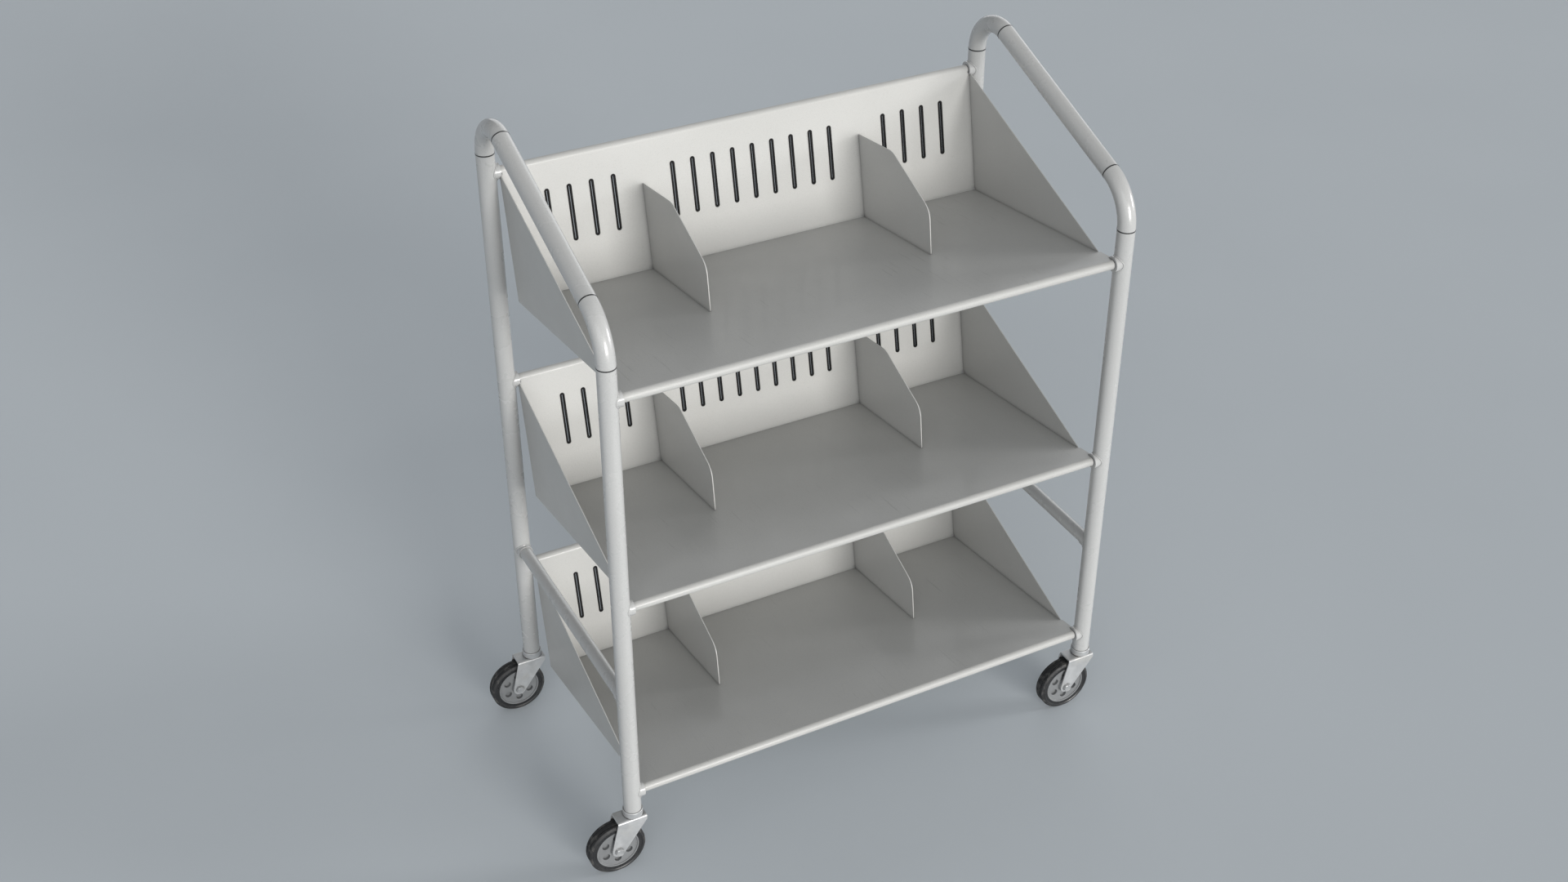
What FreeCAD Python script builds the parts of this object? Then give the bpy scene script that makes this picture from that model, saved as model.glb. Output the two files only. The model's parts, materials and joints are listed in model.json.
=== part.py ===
import FreeCAD, Part
import math
import os

import Sketcher

os.makedirs("parts", exist_ok=True)
doc = FreeCAD.newDocument("book_cart")
Vector = FreeCAD.Vector
X_AXIS = Vector(1, 0, 0)
Y_AXIS = Vector(0, 1, 0)
Z_AXIS = Vector(0, 0, 1)

# ---------------------------------------------------------------------------
# Driving dimensions, millimetres and degrees.  The cart stands on z = 0, its
# long side runs along X, and its open front faces -Y.
# ---------------------------------------------------------------------------
DIMENSIONS = [
    # side frames
    ("post_spacing_x", 892, "left post axis to right post axis"),
    ("post_spacing_y", 456, "front post axis to rear post axis"),
    ("post_diameter", 30, "outside of the bent frame tube"),
    ("post_wall", 1.8, "wall of the bent frame tube"),
    ("post_foot", 122, "lower end of the posts above the ground"),
    ("front_straight", 856, "straight length of a front post"),
    ("rear_straight", 992, "straight length of a rear post"),
    ("front_bend", 82, "centre line radius of the front bend"),
    ("rear_bend", 62, "centre line radius of the rear bend"),
    # rails, stretchers and their weld collars
    ("rail_diameter", 13, "outside of a shelf rail"),
    ("rail_wall", 1.5, "wall of a shelf rail"),
    ("lowest_rail", 158, "axis of the lowest front rail above the ground"),
    ("tier_pitch", 381, "height from one shelf to the next"),
    ("rear_rail_rise", 159, "rear rail axis above its front rail axis"),
    ("stretcher_diameter", 22, "outside of a side stretcher"),
    ("stretcher_wall", 1.6, "wall of a side stretcher"),
    ("stretcher_height", 354, "stretcher axis above the ground"),
    ("collar_diameter", 26, "outside of a weld collar"),
    ("collar_length", 5, "collar beyond the face of its post"),
    ("collar_gap", 0.4, "clearance round a collar in the shelf that it meets"),
    # shelves
    ("sheet", 1.5, "thickness of the folded sheet"),
    ("floor_slope", 8, "fall of a shelf floor towards the rear"),
    ("back_lean", 10.85, "backward lean of a back panel"),
    ("hem_wrap", 153, "how far a hem curls round its rail"),
    ("hem_width", 850, "length of both hems"),
    ("shelf_width", 856.2, "outside of the two end panels"),
    ("lip_width", 861, "floor width just behind the front rail"),
    ("lip_depth", 39, "how far the wide lip runs back from the rail axis"),
    ("fold_radius", 1.5, "inside radius of the fold at the rear of the floor"),
    ("end_tip", 43, "front tip of an end panel behind the rail axis"),
    ("end_corner", 11, "round lower corner of an end panel"),
    ("end_drop", 2, "top corner of an end panel below the rear rail axis"),
    ("relief_diameter", 6, "bend relief hole"),
    ("pattern_shift", 4.5, "slots and dividers sit this far right of centre"),
    ("slot_width", 6, "width of a slot in the back panel"),
    ("slot_start", 78, "lower end of a slot above the fold"),
    ("slot_end", 170, "upper end of a slot above the fold"),
    ("middle_slot_pitch", 36, "pitch of the nine middle slots"),
    ("side_slot_pitch", 37.8, "pitch of the four slots at each side"),
    ("side_slot_first", 247.5, "first side slot from the pattern centre"),
    # dividers
    ("divider_offset", 199, "divider from the pattern centre"),
    ("divider_sheet", 1.5, "thickness of a divider"),
    ("divider_height", 145, "height above the floor"),
    ("divider_depth", 221, "depth from the fold to the front edge"),
    ("divider_top", 106.5, "depth of the level top edge, to its corner"),
    ("divider_front", 76.7, "height of the front edge, to its corner"),
    ("divider_top_round", 40, "radius of the upper corner"),
    ("divider_front_round", 30, "radius of the front corner"),
    ("flange_width", 15, "foot flange of a divider"),
    ("flange_start", 12, "rear end of the foot flange from the fold"),
    ("flange_end", 185, "front end of the foot flange from the fold"),
    ("rivet_diameter", 4, "shank of a rivet"),
    ("rivet_head", 8, "head of a rivet"),
    # casters
    ("wheel_diameter", 100, "outside of a tyre"),
    ("tyre_width", 24, "width of a tyre"),
    ("tyre_inside", 76, "seat of the tyre on the wheel"),
    ("wheel_trail", 34, "axle behind the swivel axis"),
    ("hub_width", 25.9, "hub between the fork legs"),
    ("hub_diameter", 24, "boss at the middle of a wheel"),
    ("axle_diameter", 8, "axle bolt"),
    ("axle_half", 22, "axle bolt and nut reach on each side"),
    ("stem_diameter", 12, "swivel stem"),
    ("stem_grip", 40, "stem and socket inside the post"),
    ("collar_cup", 34, "outside of the swivel collar"),
    ("fork_top", 110, "top of the fork plate above the ground"),
    ("fork_plate", 3, "thickness of the fork plate"),
    ("fork_leg", 2.5, "thickness of a fork leg"),
    ("fork_width", 31.5, "outside of the two legs"),
    ("fork_nose", 19, "fork plate in front of the swivel axis"),
    ("fork_tail", 32, "fork plate behind the swivel axis"),
    ("fork_end", 11.75, "round end of a leg about the axle"),
    ("ball_diameter", 5, "swivel bearing ball"),
    ("ball_circle", 24, "pitch circle of the swivel balls"),
    ("running_gap", 0.05, "radial clearance of a turning shaft"),
]
SHEET = "Dimensions"
sheet = doc.addObject("Spreadsheet::Sheet", SHEET)
for row, (alias, value, note) in enumerate(DIMENSIONS, start=1):
    sheet.set(f"A{row}", note)
    sheet.set(f"B{row}", str(value))
    sheet.setAlias(f"B{row}", alias)
doc.recompute()


def dim(alias):
    """The number in the cell with this alias."""
    return float(sheet.get(alias))


def cell(formula):
    """A formula whose words are aliases of the sheet, written out for setExpression."""
    words = formula.split(" ")
    names = {alias for alias, _, _ in DIMENSIONS}
    return " ".join(f"{SHEET}.{word}" if word in names else word for word in words)


# Places that follow from the driving dimensions
POST_REACH = dim("wheel_trail") + dim("wheel_diameter") / 2
CART_SHIFT = (POST_REACH - dim("fork_nose")) / 2
SIDES = {"left": CART_SHIFT - dim("post_spacing_x") / 2,
         "right": CART_SHIFT + dim("post_spacing_x") / 2}
ENDS = {"front": -dim("post_spacing_y") / 2, "rear": dim("post_spacing_y") / 2}
TIERS = {"lower": dim("lowest_rail"),
         "middle": dim("lowest_rail") + dim("tier_pitch"),
         "upper": dim("lowest_rail") + 2 * dim("tier_pitch")}
TINY = 0.01

nodes = []


def keep(thing, node):
    """Name a finished sub-part as one node of the cart."""
    thing.Label = node
    nodes.append(thing)
    return thing


# ---------------------------------------------------------------------------
# Helpers for bodies and sketches
# ---------------------------------------------------------------------------
def new_body(name, place, turn=None):
    body = doc.addObject("PartDesign::Body", name)
    body.Placement = FreeCAD.Placement(place, turn or FreeCAD.Rotation())
    return body


def new_sketch(body, role, offset=None):
    """A sketch on one of the body's own origin planes, moved by offset."""
    sketch = body.newObject("Sketcher::SketchObject", body.Name + "_sketch")
    plane = next(feature for feature in body.Origin.OriginFeatures if feature.Role == role)
    sketch.AttachmentSupport = [(plane, "")]
    sketch.MapMode = "FlatFace"
    if offset is not None:
        sketch.AttachmentOffset = offset
    return sketch


def raised(distance):
    """An attachment offset straight up from a sketch's own plane."""
    return FreeCAD.Placement(Vector(0, 0, distance), FreeCAD.Rotation())


def bind(sketch, constraint, formula):
    """Add a sketch constraint whose value is a formula of the sheet's cells."""
    index = sketch.addConstraint(constraint)
    sketch.setExpression(f"Constraints[{index}]", cell(formula))


def new_feature(body, kind, sketch):
    feature = body.newObject("PartDesign::" + kind, body.Name + "_" + kind)
    feature.Profile = sketch
    sketch.Visibility = False
    return feature


def pad(body, sketch, formula, both_ways=False, backwards=False):
    feature = new_feature(body, "Pad", sketch)
    feature.setExpression("Length", cell(formula))
    feature.SideType = "Symmetric" if both_ways else "One side"
    feature.Reversed = backwards
    return feature


def cut_through(body, sketch):
    """A pocket that runs both ways from its sketch, right through the piece."""
    feature = new_feature(body, "Pocket", sketch)
    feature.Type = "ThroughAll"
    feature.SideType = "Symmetric"
    return feature


START, END, CENTRE = 1, 2, 3


def add_circle(sketch, x, y, formula, place=("", "")):
    """A circle of bound diameter; place may give bound formulas for its centre."""
    circle = sketch.addGeometry(Part.Circle(Vector(x, y, 0), Z_AXIS, 1), False)
    bind(sketch, Sketcher.Constraint("Diameter", circle, 2), formula)
    for kind, value, bound in (("DistanceX", x, place[0]), ("DistanceY", y, place[1])):
        constraint = Sketcher.Constraint(kind, -1, 1, circle, CENTRE, value)
        if bound:
            bind(sketch, constraint, bound)
        else:
            sketch.addConstraint(constraint)


def add_line(sketch, start, end):
    return sketch.addGeometry(Part.LineSegment(Vector(*start, 0), Vector(*end, 0)), False)


def add_arc(sketch, centre, radius, first, last):
    """An anticlockwise arc between two angles in degrees."""
    circle = Part.Circle(Vector(*centre, 0), Z_AXIS, radius)
    arc = Part.ArcOfCircle(circle, math.radians(first), math.radians(last))
    return sketch.addGeometry(arc, False)


def tangent(sketch, first, first_end, second, second_end):
    sketch.addConstraint(Sketcher.Constraint("Tangent", first, first_end, second, second_end))


def add_outline(sketch, corners):
    """A closed outline of (x, y, radius) corners, each rounded by a tangent arc."""
    count = len(corners)
    rounds = []
    for index, (x, y, radius) in enumerate(corners):
        here = Vector(x, y, 0)
        to_last = (Vector(*corners[index - 1][:2], 0) - here).normalize()
        to_next = (Vector(*corners[(index + 1) % count][:2], 0) - here).normalize()
        half = to_last.getAngle(to_next) / 2
        reach = radius / math.tan(half)
        middle = here + (to_last + to_next).normalize() * (radius / math.sin(half) - radius)
        rounds.append((here + to_last * reach, middle, here + to_next * reach, radius))
    for index, (arrive, middle, leave, radius) in enumerate(rounds):
        if radius > 0:
            sketch.addGeometry(Part.Arc(arrive, middle, leave), False)
        onward = rounds[(index + 1) % count][0]
        sketch.addGeometry(Part.LineSegment(leave, onward), False)


def polar(centre, radius, degrees):
    angle = math.radians(degrees)
    return (centre[0] + radius * math.cos(angle), centre[1] + radius * math.sin(angle))


def axis_cylinder(name, diameter, length, place, direction):
    """A Part cylinder of bound size that starts at place and runs along direction."""
    cylinder = doc.addObject("Part::Cylinder", name)
    cylinder.setExpression("Radius", cell("( " + diameter + " ) / 2"))
    cylinder.setExpression("Height", cell(length))
    cylinder.Placement = FreeCAD.Placement(place, FreeCAD.Rotation(Z_AXIS, direction))
    return cylinder


# ---------------------------------------------------------------------------
# Side frames: one tube bent into both posts and the handle
# ---------------------------------------------------------------------------
def side_frame(side):
    body = new_body(side + "_frame_body", Vector(SIDES[side], 0, dim("post_foot")))
    reach = dim("post_spacing_y") / 2
    front_top, rear_top = dim("front_straight"), dim("rear_straight")
    front_bend, rear_bend = dim("front_bend"), dim("rear_bend")
    front_centre = (front_bend - reach, front_top)
    rear_centre = (reach - rear_bend, rear_top)
    run = math.dist(front_centre, rear_centre)
    climb = math.degrees(math.atan2(rear_top - front_top, rear_centre[0] - front_centre[0]))
    handle = climb - math.degrees(math.asin((front_bend - rear_bend) / run))
    normal = handle + 90

    path = new_sketch(body, "YZ_Plane")
    front_post = add_line(path, (-reach, 0), (-reach, front_top))
    front_turn = add_arc(path, front_centre, front_bend, normal, 180)
    grip_front = polar(front_centre, front_bend, normal)
    grip_rear = polar(rear_centre, rear_bend, normal)
    grip = add_line(path, grip_front, grip_rear)
    rear_turn = add_arc(path, rear_centre, rear_bend, 0, normal)
    rear_post = add_line(path, (reach, rear_top), (reach, 0))
    tangent(path, front_post, END, front_turn, END)
    tangent(path, front_turn, START, grip, START)
    tangent(path, grip, END, rear_turn, END)
    tangent(path, rear_turn, START, rear_post, START)
    for post, foot_end in ((front_post, START), (rear_post, END)):
        path.addConstraint(Sketcher.Constraint("Vertical", post))
        path.addConstraint(Sketcher.Constraint("PointOnObject", post, foot_end, -1))
    half_depth = "post_spacing_y / 2"
    bind(path, Sketcher.Constraint("DistanceX", front_post, START, -1, 1, reach), half_depth)
    bind(path, Sketcher.Constraint("DistanceX", -1, 1, rear_post, END, reach), half_depth)
    bind(path, Sketcher.Constraint("DistanceY", front_post, front_top), "front_straight")
    bind(path, Sketcher.Constraint("DistanceY", rear_post, -rear_top), "- rear_straight")
    bind(path, Sketcher.Constraint("Radius", front_turn, front_bend), "front_bend")
    bind(path, Sketcher.Constraint("Radius", rear_turn, rear_bend), "rear_bend")

    ring = new_sketch(body, "XY_Plane")
    for formula in ("post_diameter", "post_diameter - 2 * post_wall"):
        add_circle(ring, 0, -reach, formula, ("", "- post_spacing_y / 2"))
    tube = new_feature(body, "AdditivePipe", ring)
    tube.Spine = (path, [f"Edge{index + 1}" for index in range(path.GeometryCount)])
    path.Visibility = False
    return keep(body, side + "_side_frame")


for side in SIDES:
    side_frame(side)


# ---------------------------------------------------------------------------
# Rails and stretchers: straight tubes coped to the posts at both ends
# ---------------------------------------------------------------------------
def coped_tube(node, place, turn, size, span):
    """A tube along the body's X axis from post axis to post axis, coped to the posts."""
    body = new_body(node + "_body", place, turn)
    ring = new_sketch(body, "YZ_Plane")
    add_circle(ring, 0, 0, size + "_diameter")
    add_circle(ring, 0, 0, size + "_diameter - 2 * " + size + "_wall")
    pad(body, ring, span, both_ways=True)
    cope = new_sketch(body, "XY_Plane")
    for sign, formula in ((-1, "- " + span + " / 2"), (1, span + " / 2")):
        add_circle(cope, sign * dim(span) / 2, 0, "post_diameter", (formula, ""))
    cut_through(body, cope)
    return keep(body, node)


def rail_place(tier, end):
    rise = dim("rear_rail_rise") if end == "rear" else 0
    return Vector(CART_SHIFT, ENDS[end], TIERS[tier] + rise)


for tier in TIERS:
    for end in ENDS:
        coped_tube(f"{tier}_{end}_rail", rail_place(tier, end), None, "rail", "post_spacing_x")
QUARTER_TURN = FreeCAD.Rotation(Z_AXIS, 90)
for side, x in SIDES.items():
    coped_tube(side + "_stretcher", Vector(x, 0, dim("stretcher_height")), QUARTER_TURN,
               "stretcher", "post_spacing_y")


def weld_collar(name, post, along, inside):
    """A ring round the end of a tube, coped to the post that it is welded to."""
    reach = "post_diameter / 2 + collar_length"
    ring = axis_cylinder(name + "_ring", "collar_diameter", reach, post, along)
    hole = axis_cylinder(name + "_hole", inside, "post_diameter", post, along)
    below = post - Z_AXIS * dim("collar_diameter")
    column = axis_cylinder(name + "_post", "post_diameter", "2 * collar_diameter", below, Z_AXIS)
    tools = doc.addObject("Part::MultiFuse", name + "_tools")
    tools.Shapes = [hole, column]
    collar = doc.addObject("Part::Cut", name)
    collar.Base = ring
    collar.Tool = tools
    return collar


for side, x in SIDES.items():
    inward = X_AXIS if side == "left" else -X_AXIS
    collars = []
    for tier in TIERS:
        for end in ENDS:
            post = Vector(x, ENDS[end], rail_place(tier, end).z)
            name = f"{side}_{tier}_{end}_collar"
            collars.append(weld_collar(name, post, inward, "rail_diameter"))
    for end, y in ENDS.items():
        along = Y_AXIS if end == "front" else -Y_AXIS
        post = Vector(x, y, dim("stretcher_height"))
        name = f"{side}_stretcher_{end}_collar"
        collars.append(weld_collar(name, post, along, "stretcher_diameter"))
    group = doc.addObject("Part::Compound", side + "_collar_group")
    group.Links = collars
    keep(group, side + "_weld_collars")


# ---------------------------------------------------------------------------
# Shelves: one folded sheet each.  In a shelf's own frame the front rail axis is
# the origin, so the section below serves every tier.
# ---------------------------------------------------------------------------
SHEET_T = dim("sheet")
HEM_IN = dim("rail_diameter") / 2
HEM_OUT = HEM_IN + SHEET_T
FLOOR_ANGLE = 90 - dim("floor_slope")
BACK_ANGLE = 180 - dim("back_lean")
REAR_RAIL = (dim("post_spacing_y"), dim("rear_rail_rise"))
FLOOR_UP = polar((0, 0), 1, FLOOR_ANGLE)
BACK_OUT = polar((0, 0), 1, BACK_ANGLE)
BACK_AWAY = BACK_OUT[0] * REAR_RAIL[0] + BACK_OUT[1] * REAR_RAIL[1]


def meet(above_floor, before_back):
    """The point this far above the floor line and this far in front of the back line."""
    a, b = FLOOR_UP
    c, d = BACK_OUT
    scale = a * d - b * c
    return ((above_floor * d - b * before_back) / scale, (a * before_back - above_floor * c) / scale)


def floor_point(y, distance):
    """A point at depth y, on the line this far above the front rail axis."""
    return (y, (distance - FLOOR_UP[0] * y) / FLOOR_UP[1])


def back_point(z, distance):
    """A point at height z, on the line this far in front of the rear rail axis."""
    return ((BACK_AWAY + distance - BACK_OUT[1] * z) / BACK_OUT[0], z)


FOLD = meet(HEM_OUT, BACK_AWAY + HEM_OUT)
UNDER_FOLD = meet(HEM_IN, BACK_AWAY + HEM_IN)
END_TOP = dim("rear_rail_rise") - dim("end_drop")


def section_sketch(body):
    """The closed section of floor, back and both hems, one sheet thick."""
    sketch = new_sketch(body, "YZ_Plane")
    bend = meet(HEM_OUT + dim("fold_radius"), BACK_AWAY + HEM_OUT + dim("fold_radius"))
    front_last = FLOOR_ANGLE + dim("hem_wrap")
    rear_first = BACK_ANGLE - dim("hem_wrap")
    inner, outer = dim("fold_radius"), dim("fold_radius") + SHEET_T
    for radius, fold in ((HEM_OUT, inner), (HEM_IN, outer)):
        add_arc(sketch, (0, 0), radius, FLOOR_ANGLE, front_last)
        add_line(sketch, polar((0, 0), radius, FLOOR_ANGLE), polar(bend, fold, FLOOR_ANGLE - 180))
        add_arc(sketch, bend, fold, FLOOR_ANGLE + 180, BACK_ANGLE + 180)
        add_line(sketch, polar(bend, fold, BACK_ANGLE + 180), polar(REAR_RAIL, radius, BACK_ANGLE))
        add_arc(sketch, REAR_RAIL, radius, rear_first, BACK_ANGLE)
    add_line(sketch, polar((0, 0), HEM_IN, front_last), polar((0, 0), HEM_OUT, front_last))
    add_line(sketch, polar(REAR_RAIL, HEM_IN, rear_first), polar(REAR_RAIL, HEM_OUT, rear_first))
    return sketch


def flat_sketch(body):
    """The floor and back between the hems, without them."""
    sketch = new_sketch(body, "YZ_Plane")
    add_outline(sketch, [(*floor_point(HEM_OUT, HEM_OUT), 0),
                         (*FOLD, dim("fold_radius")),
                         (*back_point(END_TOP, HEM_OUT), 0),
                         (*back_point(END_TOP, HEM_IN), 0),
                         (*UNDER_FOLD, dim("fold_radius") + SHEET_T),
                         (*floor_point(HEM_OUT, HEM_IN), 0)])
    return sketch


def lip_sketch(body):
    sketch = new_sketch(body, "YZ_Plane")
    near, far = HEM_OUT, dim("lip_depth")
    add_outline(sketch, [(*floor_point(near, HEM_OUT), 0), (*floor_point(far, HEM_OUT), 0),
                         (*floor_point(far, HEM_IN), 0), (*floor_point(near, HEM_IN), 0)])
    return sketch


def collar_notch(body, x, backwards):
    """Clearance for the weld collars at one end of a shelf, from x outwards."""
    sketch = new_sketch(body, "YZ_Plane", raised(x))
    for rail in ((0, 0), REAR_RAIL):
        add_circle(sketch, *rail, "collar_diameter + 2 * collar_gap")
    notch = new_feature(body, "Pocket", sketch)
    notch.setExpression("Length", cell("collar_length + collar_gap"))
    notch.Reversed = backwards


def end_panel_sketch(body, x):
    """The triangle that closes one end, on a plane at x."""
    sketch = new_sketch(body, "YZ_Plane", raised(x))
    add_outline(sketch, [(*floor_point(dim("end_tip"), HEM_IN), 0),
                         (*floor_point(dim("end_tip"), HEM_OUT + SHEET_T), 0),
                         (*back_point(END_TOP, HEM_OUT), 0),
                         (*back_point(END_TOP, HEM_IN), 0),
                         (*UNDER_FOLD, dim("end_corner"))])
    return sketch


def back_plane():
    """The back panel's front face, with its origin on the fold."""
    lean = FreeCAD.Rotation(X_AXIS, -dim("back_lean"))
    return FreeCAD.Placement(Vector(dim("pattern_shift"), FOLD[1], -FOLD[0]), lean)


def slot_row(body, first, pitch, count):
    """One vertical slot with round ends, cut and then repeated along the shelf."""
    sketch = new_sketch(body, "XZ_Plane", back_plane())
    radius = dim("slot_width") / 2
    low, high = dim("slot_start") + radius, dim("slot_end") - radius
    add_arc(sketch, (first, low), radius, 180, 360)
    add_line(sketch, (first + radius, low), (first + radius, high))
    add_arc(sketch, (first, high), radius, 0, 180)
    add_line(sketch, (first - radius, high), (first - radius, low))
    slot = cut_through(body, sketch)
    row = body.newObject("PartDesign::LinearPattern", body.Name + "_slots")
    row.Originals = [slot]
    row.Direction = (sketch, ["H_Axis"])
    row.setExpression("Length", cell(f"{pitch} * {count - 1}"))
    row.Occurrences = count
    body.Tip = row
    return row


def floor_plane():
    """The floor's top face, with its origin on the fold."""
    slope = FreeCAD.Rotation(X_AXIS, -dim("floor_slope"))
    return FreeCAD.Placement(Vector(0, *FOLD), slope)


DIVIDERS = {"left": dim("pattern_shift") - dim("divider_offset"),
            "right": dim("pattern_shift") + dim("divider_offset")}
RIVET_X = dim("divider_sheet") + (dim("flange_width") - dim("divider_sheet")) / 2
RIVET_INSET = 20
RIVET_DEPTHS = (dim("flange_start") + RIVET_INSET, dim("flange_end") - RIVET_INSET)


def shelf(tier):
    body = new_body(tier + "_shelf_body", rail_place(tier, "front"))
    pad(body, section_sketch(body), "hem_width", both_ways=True)
    pad(body, flat_sketch(body), "shelf_width", both_ways=True)
    pad(body, lip_sketch(body), "lip_width", both_ways=True)
    inside = dim("shelf_width") / 2 - SHEET_T
    pad(body, end_panel_sketch(body, inside), "sheet")
    pad(body, end_panel_sketch(body, -inside), "sheet", backwards=True)
    between_posts = dim("post_spacing_x") - dim("post_diameter")
    notch_start = between_posts / 2 - dim("collar_length") - dim("collar_gap")
    collar_notch(body, notch_start, backwards=True)
    collar_notch(body, -notch_start, backwards=False)

    middle, pitch = 9, dim("middle_slot_pitch")
    slot_row(body, -(middle - 1) / 2 * pitch, "middle_slot_pitch", middle)
    side_count = 4
    side_row = dim("side_slot_pitch") * (side_count - 1)
    slot_row(body, dim("side_slot_first"), "side_slot_pitch", side_count)
    slot_row(body, -dim("side_slot_first") - side_row, "side_slot_pitch", side_count)

    relief = new_sketch(body, "XZ_Plane", back_plane())
    relief_height = math.dist(FOLD, back_point(END_TOP, HEM_OUT))
    for edge in (-inside, inside):
        add_circle(relief, edge - dim("pattern_shift"), relief_height, "relief_diameter")
    cut_through(body, relief)

    rivets = new_sketch(body, "XY_Plane", floor_plane())
    for x in DIVIDERS.values():
        for depth in RIVET_DEPTHS:
            add_circle(rivets, x + RIVET_X, -depth, "rivet_diameter")
    cut_through(body, rivets)
    return keep(body, tier + "_shelf")


for tier in TIERS:
    shelf(tier)


# ---------------------------------------------------------------------------
# Dividers: an upright plate with a foot flange, riveted to the shelf floor.
# Their frame has its origin on the fold, with Y down the floor to the rear.
# ---------------------------------------------------------------------------
FLOOR_TURN = FreeCAD.Rotation(X_AXIS, -dim("floor_slope"))


def on_floor(tier, x, depth=0):
    """A place on a shelf's floor, this far forward of the fold."""
    fold = rail_place(tier, "front") + Vector(x, *FOLD)
    return fold + FLOOR_TURN.multVec(Vector(0, -depth, 0))


def divider(tier, side):
    body = new_body(f"{tier}_{side}_divider_body", on_floor(tier, DIVIDERS[side]), FLOOR_TURN)
    height, depth = dim("divider_height"), dim("divider_depth")
    lean = math.tan(math.radians(dim("back_lean") - dim("floor_slope")))
    clear_of_fold, small_round = dim("fold_radius") + 1, 2
    plate = new_sketch(body, "YZ_Plane")
    add_outline(plate, [(0, 0, clear_of_fold),
                        (lean * height, height, small_round),
                        (-dim("divider_top"), height, dim("divider_top_round")),
                        (-depth, dim("divider_front"), dim("divider_front_round")),
                        (-depth, 0, small_round)])
    pad(body, plate, "divider_sheet")
    foot = new_sketch(body, "XY_Plane")
    near, far = -dim("flange_start"), -dim("flange_end")
    width, corner = dim("flange_width"), 5
    add_outline(foot, [(0, near, 0), (0, far, 0), (width, far, corner), (width, near, corner)])
    pad(body, foot, "divider_sheet")
    holes = new_sketch(body, "XY_Plane")
    for depth in RIVET_DEPTHS:
        add_circle(holes, RIVET_X, -depth, "rivet_diameter")
    cut_through(body, holes)
    return keep(body, f"{tier}_{side}_divider")


def rivet(name, place, up):
    """A blind rivet through a flange and the floor, seated on place."""
    head_height, tail_height, tail_share = 1.4, 1.6, 0.8
    under = place - up * SHEET_T
    bottom = under - up * tail_height
    top = place + up * dim("divider_sheet")
    shank = axis_cylinder(name + "_shank", "rivet_diameter", "divider_sheet + sheet", under, up)
    head = axis_cylinder(name + "_head", "rivet_head", str(head_height), top, up)
    tail = axis_cylinder(name + "_tail", f"rivet_head * {tail_share}", str(tail_height), bottom, up)
    body = doc.addObject("Part::MultiFuse", name)
    body.Shapes = [shank, head, tail]
    return body


rivets = []
for tier in TIERS:
    for side, x in DIVIDERS.items():
        divider(tier, side)
        for number, depth in enumerate(RIVET_DEPTHS, start=1):
            place = on_floor(tier, x + RIVET_X, depth)
            rivets.append(rivet(f"{tier}_{side}_rivet_{number}", place, FLOOR_TURN.multVec(Z_AXIS)))
rivet_group = doc.addObject("Part::Compound", "rivet_group")
rivet_group.Links = rivets
keep(rivet_group, "divider_rivets")


# ---------------------------------------------------------------------------
# Casters.  Each one's frame has its origin on the ground under the post axis.
# ---------------------------------------------------------------------------
AXLE_X = -dim("wheel_trail")
AXLE_Z = dim("wheel_diameter") / 2
FOOT = dim("post_foot")
FORK_TOP = dim("fork_top")
PLATE_UNDER = FORK_TOP - dim("fork_plate")


def turned(node, place, outline, upright=True):
    """A turned piece: an outline of (radius, height, corner) spun about its own axis."""
    body = new_body(node + "_body", place, None if upright else FreeCAD.Rotation(X_AXIS, 90))
    sketch = new_sketch(body, "XZ_Plane")
    add_outline(sketch, outline)
    spin = new_feature(body, "Revolution", sketch)
    spin.ReferenceAxis = (sketch, ["V_Axis"])
    spin.Angle = 360
    return body


def post_socket(name, post):
    """The sleeve that is driven into the end of a post and holds the stem."""
    inside = dim("stem_diameter") / 2
    outside = dim("post_diameter") / 2 - dim("post_wall")
    height = dim("stem_grip")
    outline = [(inside, FOOT, 0), (outside, FOOT, 0),
               (outside, FOOT + height, 0), (inside, FOOT + height, 0)]
    keep(turned(name + "_post_socket", post, outline), name + "_post_socket")


def swivel_stem(name, post):
    """The stem: fast in the socket, riveted over under the fork plate."""
    radius = dim("stem_diameter") / 2
    head_radius, head_height, gap, recess = 9, 3, 0.3, 2
    top = FOOT + dim("stem_grip") - recess
    head_top = PLATE_UNDER - gap
    head_low = head_top - head_height
    outline = [(0, head_low, 0), (head_radius, head_low, 0), (head_radius, head_top, 0),
               (radius, head_top, 0), (radius, top, 0), (0, top, 0)]
    keep(turned(name + "_swivel_stem", post, outline), name + "_swivel_stem")


RACE_WALL = 0.2
BALL_TOP = FORK_TOP + dim("running_gap") + dim("ball_diameter")


def swivel_collar(name, post):
    """The cup under the post: its groove runs on the balls."""
    inner, outer = dim("stem_diameter") / 2, dim("collar_cup") / 2
    lip_gap = 0.4
    lip = FORK_TOP + lip_gap
    groove = dim("ball_diameter") / 2 + RACE_WALL
    near, far = dim("ball_circle") / 2 - groove, dim("ball_circle") / 2 + groove
    roof = BALL_TOP + RACE_WALL
    outline = [(inner, lip, 0), (near, lip, 0), (near, roof, 0), (far, roof, 0), (far, lip, 0),
               (outer, lip, 0), (outer, FOOT, 0), (inner, FOOT, 0)]
    keep(turned(name + "_swivel_collar", post, outline), name + "_swivel_collar")


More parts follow.
